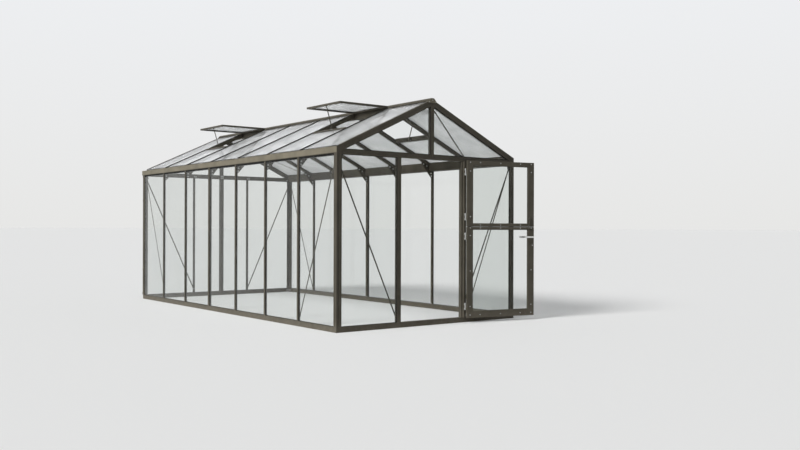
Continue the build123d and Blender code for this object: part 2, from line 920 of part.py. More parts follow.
def fixed_hinges():
    """The post's halves of the hinges: two knuckles on the nose and the pin through them."""
    upper, lower = hinge_foot_heights()
    with BuildPart() as hinges:
        for foot in upper + lower:
            for start in (foot, foot + hinge_length - fixed_knuckle):
                with BuildSketch(Plane.XY.offset(start)):
                    with Locations((hinge_x, hinge_y)):
                        Circle(knuckle_radius)
                    with Locations((hinge_x, hinge_y + hinge_nose_gap / 2)):
                        Rectangle(2 * knuckle_radius, hinge_nose_gap)
                extrude(amount=fixed_knuckle)
            with BuildSketch(Plane.XY.offset(foot)):
                with Locations((hinge_x, hinge_y)):
                    Circle(pin_radius)
            extrude(amount=hinge_length)
    save(hinges, "hinge_knuckles_fixed")


def leaf_hinges(feet, name):
    """A leaf's halves of its hinges: one knuckle each, on a plate along the outer face."""
    with BuildPart() as hinges:
        for foot in feet:
            start = foot + fixed_knuckle + knuckle_gap
            height = hinge_length - 2 * fixed_knuckle - 2 * knuckle_gap
            with BuildSketch(leaf_plane.offset(start)):
                Circle(knuckle_radius)
            extrude(amount=height)
            reach = (0, leaf_start + hinge_plate_reach)
            add_leaf_box(reach, (outer_side, outer_side + hinge_plate), (start, start + height))
            with BuildSketch(leaf_plane.offset(start)):
                Circle(pin_radius + pin_clearance)
            extrude(amount=height, mode=Mode.SUBTRACT)
    save(hinges, name)


def lever_handle():
    """Levers on both sides of the lower leaf, on one spindle."""
    reach = lever_standoff + lever_thickness
    inner_end = inner_side - reach
    with BuildPart() as handle:
        with BuildSketch(cross_plane(lever_place, outer_side + reach, lever_height)):
            Circle(spindle_radius)
        extrude(amount=outer_side - inner_side + 2 * reach)
        for start in (outer_side + reach, inner_side - lever_neck_gap):
            with BuildSketch(cross_plane(lever_place, start, lever_height)):
                Circle(lever_neck_radius)
            extrude(amount=reach - lever_neck_gap)
        for start in (outer_side + reach, inner_end + lever_thickness):
            with BuildSketch(cross_plane(lever_place, start, lever_height)):
                with Locations((-lever_length / 2, 0)):
                    SlotOverall(lever_length + lever_bar, lever_bar)
            extrude(amount=lever_thickness)
    save(handle, "lever_handle")


def slide_bolt():
    """Round bolt with a knob, drawn up clear of the lower leaf."""
    foot = upper_bottom + bolt_rest_gap
    t = inner_side - bolt_standoff
    with BuildPart() as bolt:
        with BuildSketch(leaf_plane.offset(foot)):
            with Locations((bolt_place, t)):
                Circle(bolt_radius)
        extrude(amount=bolt_length)
        with BuildSketch(cross_plane(bolt_place, t, foot + bolt_knob_inset)):
            Circle(bolt_knob_radius)
        extrude(amount=bolt_knob_length)
    save(bolt, "slide_bolt")


def bolt_guide_blocks():
    """Two guides on the upper leaf that the bolt slides in."""
    t = inner_side - bolt_standoff
    half = bolt_guide_width / 2
    with BuildPart() as guides:
        for inset in bolt_guide_insets:
            start = upper_bottom + inset
            s_range = (bolt_place - half, bolt_place + half)
            t_range = (inner_side - bolt_guide_depth, inner_side)
            add_leaf_box(s_range, t_range, (start, start + bolt_guide_height))
            with BuildSketch(leaf_plane.offset(start)):
                with Locations((bolt_place, t)):
                    Circle(bolt_radius + bolt_clearance)
            extrude(amount=bolt_guide_height, mode=Mode.SUBTRACT)
    save(guides, "bolt_guides")


def bolt_keeper():
    """The keeper on the lower leaf that takes the bolt's foot."""
    t = inner_side - bolt_standoff
    half = bolt_guide_width / 2
    start = lower_top - keeper_drop - keeper_height
    with BuildPart() as keeper:
        s_range = (bolt_place - half, bolt_place + half)
        t_range = (inner_side - bolt_guide_depth, inner_side)
        add_leaf_box(s_range, t_range, (start, start + keeper_height))
        socket = 2 * (bolt_radius + keeper_clearance)
        with BuildSketch(leaf_plane.offset(start)):
            with Locations((bolt_place, t)):
                Rectangle(socket, socket)
        extrude(amount=keeper_height, mode=Mode.SUBTRACT)
    save(keeper, "bolt_keeper")


os.makedirs("parts", exist_ok=True)

base_rail_front()
base_rail_back()
base_rail_sides()
corner_post_set(True, "corner_posts_front")
corner_post_set(False, "corner_posts_back")
latch_post()
hinge_post()
gable_tie(True, "tie_beam_front")
gable_tie(False, "tie_beam_back")
king_post_front()
centre_post_back()
back_glazing_bars()
gable_rakes(True, "rakes_front")
gable_rakes(False, "rakes_back")
side_bars(-1, "side_bars_left")
side_bars(1, "side_bars_right")
gutter(-1, "gutter_left")
gutter(1, "gutter_right")
downpipe_set()
ridge_beam()
ridge_end_plates()
rafters(-1, "rafters_left")
rafters(1, "rafters_right")
knee_plate_set()
brace_set()
side_glass()
front_glass()
back_glass()
roof_glass()
vent_sashes(-1, "vent_sashes_left")
vent_sashes(1, "vent_sashes_right")
vent_glass()
vent_sill_set()
vent_stay_set()
upper_leaf()
lower_leaf()
fixed_hinges()
leaf_hinges(hinge_foot_heights()[0], "hinge_leaves_upper")
leaf_hinges(hinge_foot_heights()[1], "hinge_leaves_lower")
lever_handle()
slide_bolt()
bolt_guide_blocks()
bolt_keeper()
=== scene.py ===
"""Glass greenhouse: the finishes, fasteners, seals and fittings that dress the CAD frame."""

import math

import bmesh
import bpy
from mathutils import Matrix, Vector


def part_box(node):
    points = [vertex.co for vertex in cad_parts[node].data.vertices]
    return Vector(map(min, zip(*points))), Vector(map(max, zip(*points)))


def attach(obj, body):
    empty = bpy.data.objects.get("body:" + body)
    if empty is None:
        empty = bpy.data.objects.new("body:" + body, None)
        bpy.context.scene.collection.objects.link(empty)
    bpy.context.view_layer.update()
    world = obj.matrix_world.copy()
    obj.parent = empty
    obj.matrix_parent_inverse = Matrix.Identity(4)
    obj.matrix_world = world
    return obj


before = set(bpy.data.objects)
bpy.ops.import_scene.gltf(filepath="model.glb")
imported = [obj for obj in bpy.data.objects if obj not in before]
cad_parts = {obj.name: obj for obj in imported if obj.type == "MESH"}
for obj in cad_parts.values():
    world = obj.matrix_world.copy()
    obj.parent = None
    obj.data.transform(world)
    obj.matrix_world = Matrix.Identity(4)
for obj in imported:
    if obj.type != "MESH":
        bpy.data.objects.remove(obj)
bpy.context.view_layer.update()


# Base ring. Four aluminium rails in dark satin powder coat make the ring that stands on the
# ground. They are cut square and butt together; a folded cleat with bolts holds each corner.
FRAME_BROWN = (0.092, 0.083, 0.065)
FRAME_WORN = (0.150, 0.138, 0.112)
GROUND_DUST = (0.30, 0.27, 0.21)
BOLT_STEEL = (0.62, 0.62, 0.60)
DARKER, LIGHTER = 0.84, 1.14
SPLASH_HEIGHT = 0.16


def start_material(name):
    """A new material with object coordinates ready, so that its pattern moves with the piece."""
    material = bpy.data.materials.new(name)
    material.use_nodes = True
    nodes = material.node_tree.nodes
    shader = nodes["Principled BSDF"]
    place = nodes.new("ShaderNodeTexCoord")
    return material, nodes, material.node_tree.links, shader, place.outputs["Object"]


def grain(nodes, links, place, scale, detail=3.0, stretch=(1, 1, 1)):
    """Noise over the piece at a scale per metre, stretched along an axis for streaks."""
    mapping = nodes.new("ShaderNodeMapping")
    mapping.inputs["Scale"].default_value = stretch
    links.new(place, mapping.inputs["Vector"])
    noise = nodes.new("ShaderNodeTexNoise")
    noise.inputs["Scale"].default_value = scale
    noise.inputs["Detail"].default_value = detail
    links.new(mapping.outputs["Vector"], noise.inputs["Vector"])
    return noise.outputs["Fac"]


def spread(nodes, links, value, low, high, from_low=0.3, from_high=0.7):
    """The value from a noise, spread over a range of its own."""
    ranged = nodes.new("ShaderNodeMapRange")
    limits = (from_low, from_high, low, high)
    for socket, number in zip(("From Min", "From Max", "To Min", "To Max"), limits):
        ranged.inputs[socket].default_value = number
    links.new(value, ranged.inputs["Value"])
    return ranged.outputs["Result"]


def blend_colours(nodes, links, share, first, second):
    """Two colours mixed by a share; each is a plain colour or another node's output."""
    mix = nodes.new("ShaderNodeMix")
    mix.data_type = "RGBA"
    links.new(share, mix.inputs["Factor"])
    for socket, colour in ((mix.inputs[6], first), (mix.inputs[7], second)):
        if isinstance(colour, tuple):
            socket.default_value = (*colour, 1)
        else:
            links.new(colour, socket)
    return mix.outputs[2]


def roughen(nodes, links, shader, height, strength, distance):
    """A bump from a noise, at a real depth."""
    bump = nodes.new("ShaderNodeBump")
    bump.inputs["Strength"].default_value = strength
    bump.inputs["Distance"].default_value = distance
    links.new(height, bump.inputs["Height"])
    links.new(bump.outputs["Normal"], shader.inputs["Normal"])


def powder_coat(name, colour, worn, wear_share):
    """Satin powder coat: faint clouds, rain streaks, dust near the ground, an orange-peel skin."""
    material, nodes, links, shader, place = start_material(name)
    dark = tuple(DARKER * part for part in colour)
    light = tuple(LIGHTER * part for part in colour)
    clouds = spread(nodes, links, grain(nodes, links, place, scale=5.0), low=0, high=1)
    body = blend_colours(nodes, links, clouds, dark, light)
    lines = grain(nodes, links, place, scale=60.0, detail=2.0, stretch=(1, 1, 0.03))
    streaks = spread(nodes, links, lines, low=0, high=0.13, from_low=0.5, from_high=0.75)
    body = blend_colours(nodes, links, streaks, body, worn)
    patches = grain(nodes, links, place, scale=38.0, detail=6.0)
    scuffs = spread(nodes, links, patches, low=0, high=wear_share, from_low=0.56, from_high=0.7)
    body = blend_colours(nodes, links, scuffs, body, worn)
    split = nodes.new("ShaderNodeSeparateXYZ")
    links.new(place, split.inputs["Vector"])
    near_ground = spread(nodes, links, split.outputs["Z"], 0.5, 0, 0.0, SPLASH_HEIGHT)
    splashes = nodes.new("ShaderNodeMath")
    splashes.operation = "MULTIPLY"
    links.new(near_ground, splashes.inputs[0])
    links.new(grain(nodes, links, place, scale=22.0, detail=5.0), splashes.inputs[1])
    body = blend_colours(nodes, links, splashes.outputs["Value"], body, GROUND_DUST)
    links.new(body, shader.inputs["Base Color"])
    sheen = spread(nodes, links, grain(nodes, links, place, scale=17.0), low=0.36, high=0.52)
    links.new(sheen, shader.inputs["Roughness"])
    shader.inputs["Specular IOR Level"].default_value = 0.08
    peel = grain(nodes, links, place, scale=1400.0, detail=1.0)
    roughen(nodes, links, shader, peel, strength=0.35, distance=0.00006)
    return material


def bare_metal(name, colour, roughness, scratch):
    """Bare or plated metal: fine brushing, dull patches and small changes of tone."""
    material, nodes, links, shader, place = start_material(name)
    shader.inputs["Metallic"].default_value = 0.9
    dark = tuple(0.78 * part for part in colour)
    tarnish = grain(nodes, links, place, scale=45.0, detail=4.0)
    tone = spread(nodes, links, tarnish, low=0, high=1)
    links.new(blend_colours(nodes, links, tone, dark, colour), shader.inputs["Base Color"])
    dull = grain(nodes, links, place, scale=120.0, detail=4.0)
    sheen = spread(nodes, links, dull, low=roughness, high=roughness + 0.18)
    links.new(sheen, shader.inputs["Roughness"])
    brushing = grain(nodes, links, place, scale=900.0, detail=2.0, stretch=(1, 1, scratch))
    roughen(nodes, links, shader, brushing, strength=0.3, distance=0.00008)
    return material


def finish_node(name, face, edge, edge_width):
    """Gives a CAD node its finish, with its edges eased and in the edge finish."""
    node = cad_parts[name]
    node.data.materials.clear()
    node.data.materials.append(face)
    node.data.materials.append(edge)
    weld = node.modifiers.new("closed", "WELD")
    weld.merge_threshold = 0.00001
    bevel = node.modifiers.new("eased edges", "BEVEL")
    bevel.width = edge_width
    bevel.segments = 2
    bevel.limit_method = "ANGLE"
    bevel.angle_limit = math.radians(35)
    bevel.material = 1
    return node


def make_piece(name, mesh, material, body):
    """A finished mesh as a piece of the greenhouse, riding on its body."""
    bmesh.ops.recalc_face_normals(mesh, faces=mesh.faces)
    data = bpy.data.meshes.new(name)
    mesh.to_mesh(data)
    mesh.free()
    data.materials.append(material)
    piece = bpy.data.objects.new(name, data)
    bpy.context.scene.collection.objects.link(piece)
    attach(piece, body)
    return piece


def aim(place, out):
    """A turn that stands a fastener on a surface at a place, pointing out."""
    facing = Vector(out).to_track_quat("Z", "Y").to_matrix().to_4x4()
    return Matrix.Translation(Vector(place)) @ facing


def skin(mesh, rings, turn=Matrix.Identity(4)):
    """A closed skin through rings of points, with flat ends."""
    rows = [[mesh.verts.new(turn @ Vector(point)) for point in ring] for ring in rings]
    for lower, upper in zip(rows, rows[1:]):
        for index in range(len(lower)):
            after = (index + 1) % len(lower)
            mesh.faces.new((lower[index], lower[after], upper[after], upper[index]))
    mesh.faces.new(rows[0][::-1])
    mesh.faces.new(rows[-1])


def ring_of(radius, height, count):
    """A ring of points at a height."""
    steps = [math.tau * index / count for index in range(count)]
    return [(radius * math.cos(step), radius * math.sin(step), height) for step in steps]


def hex_bolt(mesh, place, out, across=0.013):
    """A hexagon head on a plain washer; across is the head's width over its flats."""
    turn = aim(place, out)
    washer = 0.82 * across
    thick = 0.12 * across
    washer_rings = [(washer, 0), (washer, 0.8 * thick), (0.93 * washer, thick)]
    skin(mesh, [ring_of(radius, height, 20) for radius, height in washer_rings], turn)
    corner = across / 2 / math.cos(math.radians(30))
    head = 0.58 * across
    head_rings = [(corner, thick), (corner, thick + 0.82 * head), (0.84 * corner, thick + head)]
    skin(mesh, [ring_of(radius, height, 6) for radius, height in head_rings], turn)


def folded_cleat(mesh, corner, first, second, width, leg, thick):
    """An angle folded from plate: its legs run from a corner along first and second."""
    first, second = Vector(first), Vector(second)
    along = first.cross(second)
    fold = 1.6 * thick
    outline = ((0, 0), (leg, 0), (leg, thick), (fold, thick), (thick, fold), (thick, leg), (0, leg))
    ends = []
    for shift in (-width / 2, width / 2):
        base = Vector(corner) + along * shift
        ends.append([base + first * u + second * v for u, v in outline])
    skin(mesh, ends)


galvanised = bare_metal("zinc_plated", BOLT_STEEL, roughness=0.30, scratch=1.0)
frame_paint = powder_coat("frame_paint_satin", FRAME_BROWN, FRAME_WORN, wear_share=0.12)
frame_edges = powder_coat("frame_paint_edges", FRAME_BROWN, FRAME_WORN, wear_share=0.85)
for rail in ("base_front", "base_back", "base_sides"):
    finish_node(rail, frame_paint, frame_edges, edge_width=0.0012)

RAIL = 0.044
CLEAT_HEIGHT = 0.030
CLEAT_LEG = 0.060
CLEAT_PLATE = 0.003
CLEAT_BOLTS = (0.018, 0.044)
base_low, base_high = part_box("base_front")[0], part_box("base_back")[1]
cleats, cleat_bolts = bmesh.new(), bmesh.new()
for side in (-1, 1):
    across = (-side, 0, 0)
    for end_y, into in ((base_low.y + RAIL, 1), (base_high.y - RAIL, -1)):
        inward = (0, into, 0)
        corner = (side * (base_high.x - RAIL), end_y, base_high.z / 2)
        folded_cleat(cleats, corner, across, inward, CLEAT_HEIGHT, CLEAT_LEG, CLEAT_PLATE)
        for reach in CLEAT_BOLTS:
            on_gable = (corner[0] - side * reach, end_y + into * CLEAT_PLATE, corner[2])
            hex_bolt(cleat_bolts, on_gable, inward)
            on_side = (corner[0] - side * CLEAT_PLATE, end_y + into * reach, corner[2])
            hex_bolt(cleat_bolts, on_side, across)
make_piece("base_corner_cleats", cleats, frame_paint, "house")
make_piece("base_corner_bolts", cleat_bolts, galvanised, "house")


# Posts and gable bars. Aluminium extrusions: angles with a flute down each outer face at the
# corners, and bars with shallow grooves between them, cut to their joints and bolted inside.
POSTS = (
    "corner_posts_front",
    "corner_posts_back",
    "door_post_latch",
    "door_post_hinge",
    "centre_post_back",
    "back_glazing_bars",
    "king_post_front",
    "tie_beam_front",
    "tie_beam_back",
    "rakes_front",
    "rakes_back",
)
for post in POSTS:
    finish_node(post, frame_paint, frame_edges, edge_width=0.0010)

TIE_BOLTS = (-1.170, -0.470, -0.442, 0.442, 0.470, 1.170)
TIE_BOLT_RISE = 0.018
KING_BOLTS = (-0.012, 0.012)
KING_BOLT_RISE = 0.014
tie_low, tie_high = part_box("tie_beam_front")
back_tie_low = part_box("tie_beam_back")[0]
gable_bolts = bmesh.new()
for x in TIE_BOLTS:
    hex_bolt(gable_bolts, (x, tie_high.y, tie_low.z + TIE_BOLT_RISE), (0, 1, 0))
    hex_bolt(gable_bolts, (x, back_tie_low.y, tie_low.z + TIE_BOLT_RISE), (0, -1, 0))
for x in KING_BOLTS:
    for z in (tie_low.z + KING_BOLT_RISE, tie_high.z - KING_BOLT_RISE):
        hex_bolt(gable_bolts, (x, tie_high.y, z), (0, 1, 0))
        hex_bolt(gable_bolts, (x, back_tie_low.y, z), (0, -1, 0))
make_piece("gable_bolts", gable_bolts, galvanised, "house")


# Wall bars. Upright extrusions with a cap outside the glass and a bolt slot inside, the
# fourth one wider. Each stands on the base in a small folded cleat, held by one bolt.
BAY = 0.740
FIRST_STATION = 0.003
BAYS = 7
WIDE_BAR = 4
BAR_FACE = 0.025
WIDE_BAR_FACE = 0.030
WALL_FACE = 1.260
BASE_TOP = 0.058
FOOT_CLEAT_WIDTH = 0.024
FOOT_CLEAT_PLATE = 0.0025
SMALL_BOLT = 0.008
for bars in ("side_bars_left", "side_bars_right"):
    finish_node(bars, frame_paint, frame_edges, edge_width=0.0010)


def station(number):
    """The place along the building of the bars that close a bay."""
    return FIRST_STATION + number * BAY


foot_cleats, foot_bolts = bmesh.new(), bmesh.new()
for side in (-1, 1):
    room = (-side, 0, 0)
    for number in range(1, BAYS):
        face = WIDE_BAR_FACE if number == WIDE_BAR else BAR_FACE
        leg = RAIL - face
        corner = (side * (WALL_FACE - face), station(number), BASE_TOP)
        folded_cleat(foot_cleats, corner, room, (0, 0, 1), FOOT_CLEAT_WIDTH, leg, FOOT_CLEAT_PLATE)
        on_cleat = (corner[0] - side * FOOT_CLEAT_PLATE, station(number), BASE_TOP + 0.60 * leg)
        hex_bolt(foot_bolts, on_cleat, room, SMALL_BOLT)
make_piece("bar_foot_cleats", foot_cleats, frame_paint, "house")
make_piece("bar_foot_bolts", foot_bolts, galvanised, "house")


# Gutters and downpipes. Each gutter is one long extrusion with a sloping lower edge, in a paler
# coat than its eaves beam; its underside takes the beam's dark coat as painted shade. The pipes
# hang behind the back wall on clips and end in collars.
GUTTER_GREIGE = (0.195, 0.175, 0.130)
GUTTER_WORN = (0.27, 0.25, 0.19)
BEAM_SIDE = 1.208
GUTTER_FOOT = 1.835
gutter_paint = powder_coat("gutter_paint_satin", GUTTER_GREIGE, GUTTER_WORN, wear_share=0.15)
gutter_edges = powder_coat("gutter_paint_edges", GUTTER_GREIGE, GUTTER_WORN, wear_share=0.8)
for gutter in ("gutter_left", "gutter_right"):
    node = finish_node(gutter, gutter_paint, gutter_edges, edge_width=0.0006)
    node.data.materials.append(frame_paint)
    for face in node.data.polygons:
        # Faces of the beam take the dark frame coat; so do the faces at the gutter's foot, as
        # painted shade under the gutter.
        beam_or_shaded_foot = abs(face.center.x) < BEAM_SIDE or face.center.z < GUTTER_FOOT + 0.001
        runs_along = abs(face.normal.y) < 0.9
        if beam_or_shaded_foot and runs_along:
            face.material_index = 2
finish_node("downpipes", frame_paint, frame_edges, edge_width=0.0005)


def bead(mesh, corners, out, outline):
    """A strip run round a flat opening, mitred at its corners; outline is (inset, height) pairs."""
    out = Vector(out)
    rows = []
    for index, here in enumerate(corners):
        here = Vector(here)
        arriving = (here - Vector(corners[index - 1])).normalized()
        leaving = (Vector(corners[(index + 1) % len(corners)]) - here).normalized()
        inward, next_inward = out.cross(arriving), out.cross(leaving)
        mitre = (inward + next_inward) / (1 + inward.dot(next_inward))
        section = [here + mitre * inset + out * height for inset, height in outline]
        rows.append([mesh.verts.new(point) for point in section])
    for index, row in enumerate(rows):
        beyond = rows[(index + 1) % len(rows)]
        for point in range(len(outline)):
            after = (point + 1) % len(outline)
            mesh.faces.new((row[point], beyond[point], beyond[after], row[after]))


def circle_at(centre, radius, count=32):
    """A level circle of points round a centre."""
    return [Vector(centre) + Vector(point) for point in ring_of(radius, 0, count)]


PIPE_OFF = 1.234
PIPE_BACK = 5.234
PIPE_RADIUS = 0.020
CLIP_BAND = 0.0025
CLIP_HEIGHT = 0.020
CLIP = ((0, 0), (CLIP_BAND, 0), (CLIP_BAND, CLIP_HEIGHT), (0, CLIP_HEIGHT))
CLIPS_AT = (0.42, 1.45)
STAND_OFF_SPAN = (5.208, 5.2135)
STAND_OFF_HALF = 0.010
COLLAR_BAND = 0.003
COLLAR = ((0, 0), (COLLAR_BAND, 0), (COLLAR_BAND, 0.034), (0.0005, 0.034), (0, 0.031))
COLLARS_AT = (0.060, 1.801)
pipe_fittings, clip_screws = bmesh.new(), bmesh.new()
for side in (-1, 1):
    pipe = Vector((side * PIPE_OFF, PIPE_BACK, 0))
    left, right = pipe.x - STAND_OFF_HALF, pipe.x + STAND_OFF_HALF
    for z in CLIPS_AT:
        band = circle_at(pipe + Vector((0, 0, z)), PIPE_RADIUS + CLIP_BAND)
        bead(pipe_fittings, band, (0, 0, 1), CLIP)
        foot, head = z + 0.001, z + 0.019
        stand_off = []
        for y in STAND_OFF_SPAN:
            stand_off.append([(left, y, foot), (right, y, foot), (right, y, head), (left, y, head)])
        skin(pipe_fittings, stand_off)
        on_clip = pipe + Vector((0, PIPE_RADIUS + CLIP_BAND, z + CLIP_HEIGHT / 2))
        hex_bolt(clip_screws, on_clip, (0, 1, 0), SMALL_BOLT)
    for z in COLLARS_AT:
        rim = circle_at(pipe + Vector((0, 0, z)), PIPE_RADIUS + COLLAR_BAND)
        bead(pipe_fittings, rim, (0, 0, 1), COLLAR)
make_piece("downpipe_clips", pipe_fittings, frame_paint, "house")
make_piece("downpipe_clip_bolts", clip_screws, galvanised, "house")


# Ridge. One extruded bar with a capping that the vents hang from; a plate closes it at each
# gable and is held by three screws.
finish_node("ridge_beam", frame_paint, frame_edges, edge_width=0.0009)
finish_node("ridge_end_plates", gutter_paint, gutter_edges, edge_width=0.0006)

SOCKET_ARM = 0.55
SOCKET_HALF = 0.17
SCREW_DOME = ((1, 0), (1, 0.22), (0.9, 0.42), (0.70, 0.52))


def cross_outline(radius, angles):
    """Points of a cross-shaped socket, one for each of a screw head's angles."""
    arm, half = SOCKET_ARM * radius, SOCKET_HALF * radius
    points = []
    for angle in angles:
        c, s = abs(math.cos(angle)), abs(math.sin(angle))
        reach = min(arm / max(c, s), half / max(min(c, s), 1e-6))
        points.append((reach * math.cos(angle), reach * math.sin(angle)))
    return points


def pan_screw(mesh, place, out, radius):
    """A domed screw head with a cross socket cut into it."""
    tip = math.atan(SOCKET_HALF / SOCKET_ARM)
    inner = math.pi / 4
    between = (tip + inner) / 2
    steps = (0, tip, between, inner, 2 * inner - between, 2 * inner - tip)
    angles = [arm * 2 * inner + step for arm in range(4) for step in steps]
    rings = []
    for share, rise in SCREW_DOME:
        wide, high = share * radius, rise * radius
        rings.append([(wide * math.cos(angle), wide * math.sin(angle), high) for angle in angles])
    socket = cross_outline(radius, angles)
    rings.append([(x, y, 0.54 * radius) for x, y in socket])
    rings.append([(0.8 * x, 0.8 * y, 0.16 * radius) for x, y in socket])
    skin(mesh, rings, aim(place, out))


PLATE_SCREWS = ((-0.045, 0.008), (0.0, 0.030), (0.045, 0.008))
plate_low, plate_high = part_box("ridge_end_plates")
plate_screws = bmesh.new()
for y, out in ((plate_low.y, -1), (plate_high.y, 1)):
    for x, rise in PLATE_SCREWS:
        pan_screw(plate_screws, (x, y, plate_low.z + rise), (0, out, 0), radius=0.0048)
make_piece("ridge_plate_screws", plate_screws, galvanised, "house")


# Roof bars, knee plates and braces. A rafter stands over every wall bar, tied to it by a
# steel plate round the eaves beam; flat strips brace the corners. All is bolted together.
for bars in ("rafters_left", "rafters_right"):
    finish_node(bars, frame_paint, frame_edges, edge_width=0.0009)
for plates in ("knee_plates", "braces"):
    finish_node(plates, frame_paint, frame_edges, edge_width=0.0005)

PITCH = math.radians(25)
SLOPE, LEAN, RISE = math.tan(PITCH), math.cos(PITCH), math.sin(PITCH)
EAVES = 1.903
RAFTER_DEPTH = 0.050
BEAM_INNER = 0.070
# Deep black for all rubber: part rubber's own colour, part painted shade, darkened so the head
# seals under the gutters read as shadow.
SEAL_AND_SHADE_BLACK = (0.011, 0.011, 0.010)


def roof_point(side, inward, y, depth):
    """A point of the roof: in from the wall face, along the building, down from the caps."""
    return Vector((side * (WALL_FACE - inward), y, EAVES + inward * SLOPE - depth / LEAN))


def seal_rubber(name):
    """Black rubber, its black deepened to stand in for the shade under the gutters: dull, with a
    grey bloom in patches.
    """
    material, nodes, links, shader, place = start_material(name)
    patches = grain(nodes, links, place, scale=40.0, detail=4.0)
    bloom = spread(nodes, links, patches, low=0, high=1, from_low=0.45, from_high=0.75)
    grey = tuple(2.6 * part for part in SEAL_AND_SHADE_BLACK)
    links.new(blend_colours(nodes, links, bloom, SEAL_AND_SHADE_BLACK, grey), shader.inputs["Base Color"])
    wear = grain(nodes, links, place, scale=90.0, detail=3.0)
    links.new(spread(nodes, links, wear, low=0.62, high=0.82), shader.inputs["Roughness"])
    shader.inputs["Specular IOR Level"].default_value = 0.15
    pores = grain(nodes, links, place, scale=700.0, detail=2.0)
    roughen(nodes, links, shader, pores, strength=0.3, distance=0.0001)
    return material


rubber = seal_rubber("seal_rubber")
STRIP = (
    (-0.0105, 0),
    (0.0105, 0),
    (0.0105, 0.0016),
    (0.0070, 0.0034),
    (0, 0.0040),
    (-0.0070, 0.0034),
    (-0.0105, 0.0016),
)
STRIP_SPAN = (0.020, 1.208)
cover_strips = bmesh.new()
for side in (-1, 1):
    for number in range(1, BAYS):
        y = station(number)
        rings = []
        for inward in STRIP_SPAN:
            rings.append([roof_point(side, inward, y + across, -rise) for across, rise in STRIP])
        skin(cover_strips, rings)
make_piece("roof_bar_cover_strips", cover_strips, rubber, "house")

KNEE_HALF = 0.003
KNEE_FOOT = 1.736
KNEE_ON_BAR = ((0.012, 0.020), (0.016, 0.056))
KNEE_ON_RAFTER = (0.042, 0.096)
KNEE_BOLT_DEPTH = 0.014
knee_bolts = bmesh.new()
for side in (-1, 1):
    for number in range(1, BAYS):
        y = station(number)
        face = WIDE_BAR_FACE if number == WIDE_BAR else BAR_FACE
        spots = []
        for reach, rise in KNEE_ON_BAR:
            spots.append(Vector((side * (WALL_FACE - face - reach), y, KNEE_FOOT + rise)))
        for reach in KNEE_ON_RAFTER:
            depth = RAFTER_DEPTH + KNEE_BOLT_DEPTH
            spots.append(roof_point(side, BEAM_INNER + reach, y, depth))
        for spot in spots:
            for facing in (-1, 1):
                hex_bolt(knee_bolts, spot + Vector((0, facing * KNEE_HALF, 0)), (0, facing, 0))
make_piece("knee_bolts", knee_bolts, galvanised, "house")

FRONT_WALL = -0.022
BACK_WALL = 5.208
POST_DEPTH = 0.054
BRACE_INNER = 1.2307
WALL_LEG = 1.230
BRACE_THICK = 0.004
BRACE_HEAD = 1.796
BRACE_FOOT = 0.090
FOOT_BOLT_RISE, FOOT_BOLT_BACK = 0.024, 0.010
GABLE_BRACE_END = 0.466
BRACE_CLEAT = 0.0025
BRACE_CLEAT_WIDTH = 0.030
SIDE_CLEAT_LEG, GABLE_CLEAT_LEG = 0.026, 0.022
SIDE_BOLT_IN, SIDE_BOLT_DROP, GABLE_BOLT_IN = 0.015, 0.02, 0.013
BRACE_BOLT = 0.010
ROOF_BRACE_HEAD = (1.225, 0.058)
ROOF_BRACE_FOOT = (0.090, 0.037)
WALL_ENDS = ((FRONT_WALL, 1, 1, 0.0263), (BACK_WALL, -1, BAYS - 1, 5.1787))
brace_cleats, brace_bolts = bmesh.new(), bmesh.new()
for side in (-1, 1):
    room = Vector((-side, 0, 0))
    for wall_end, into, near_bar, strip_back in WALL_ENDS:
        inward = Vector((0, into, 0))
        post_face = wall_end + into * POST_DEPTH
        corner = (side * BRACE_INNER, post_face, BRACE_HEAD)
        legs = (BRACE_CLEAT_WIDTH, SIDE_CLEAT_LEG, BRACE_CLEAT)
        folded_cleat(brace_cleats, corner, room, inward, *legs)
        strip_y = post_face + into * SIDE_BOLT_IN
        on_strip = (side * (BRACE_INNER - BRACE_CLEAT), strip_y, BRACE_HEAD - SIDE_BOLT_DROP)
        hex_bolt(brace_bolts, on_strip, room, BRACE_BOLT)
        foot_y = station(near_bar) - into * FOOT_BOLT_BACK
        foot = (side * BRACE_INNER, foot_y, BRACE_FOOT + FOOT_BOLT_RISE)
        hex_bolt(brace_bolts, foot, room, BRACE_BOLT)
        corner = (side * WALL_LEG, strip_back, BRACE_HEAD)
        legs = (BRACE_CLEAT_WIDTH, GABLE_CLEAT_LEG, BRACE_CLEAT)
        folded_cleat(brace_cleats, corner, inward, room, *legs)
        cleat_x, cleat_y = side * (WALL_LEG - GABLE_BOLT_IN), strip_back + into * BRACE_CLEAT
        hex_bolt(brace_bolts, (cleat_x, cleat_y, BRACE_HEAD), inward, BRACE_BOLT)
        foot = (side * GABLE_BRACE_END, strip_back, BRACE_FOOT + FOOT_BOLT_RISE)
        hex_bolt(brace_bolts, foot, inward, BRACE_BOLT)
        under = Vector((-side * RISE, 0, -LEAN))
        for reach, y in (
            (ROOF_BRACE_HEAD[0], wall_end + into * ROOF_BRACE_HEAD[1]),
            (ROOF_BRACE_FOOT[0], station(near_bar) - into * ROOF_BRACE_FOOT[1]),
        ):
            spot = roof_point(side, reach, y, RAFTER_DEPTH + BRACE_THICK)
            hex_bolt(brace_bolts, spot, under, SMALL_BOLT)
make_piece("brace_cleats", brace_cleats, frame_paint, "house")
make_piece("brace_bolts", brace_bolts, galvanised, "house")


# Panes. Toughened glass 4 mm thick stands in the slots of the bars. The roof's panes are milky,
# smooth to the weather and patterned to the room. Black rubber seals grip both faces of each.
GLASS_TINT = (0.958, 0.965, 0.961)
GLASS_FILM = (0.80, 0.81, 0.80)
OPAL_BODY = (0.982, 0.988, 0.988)


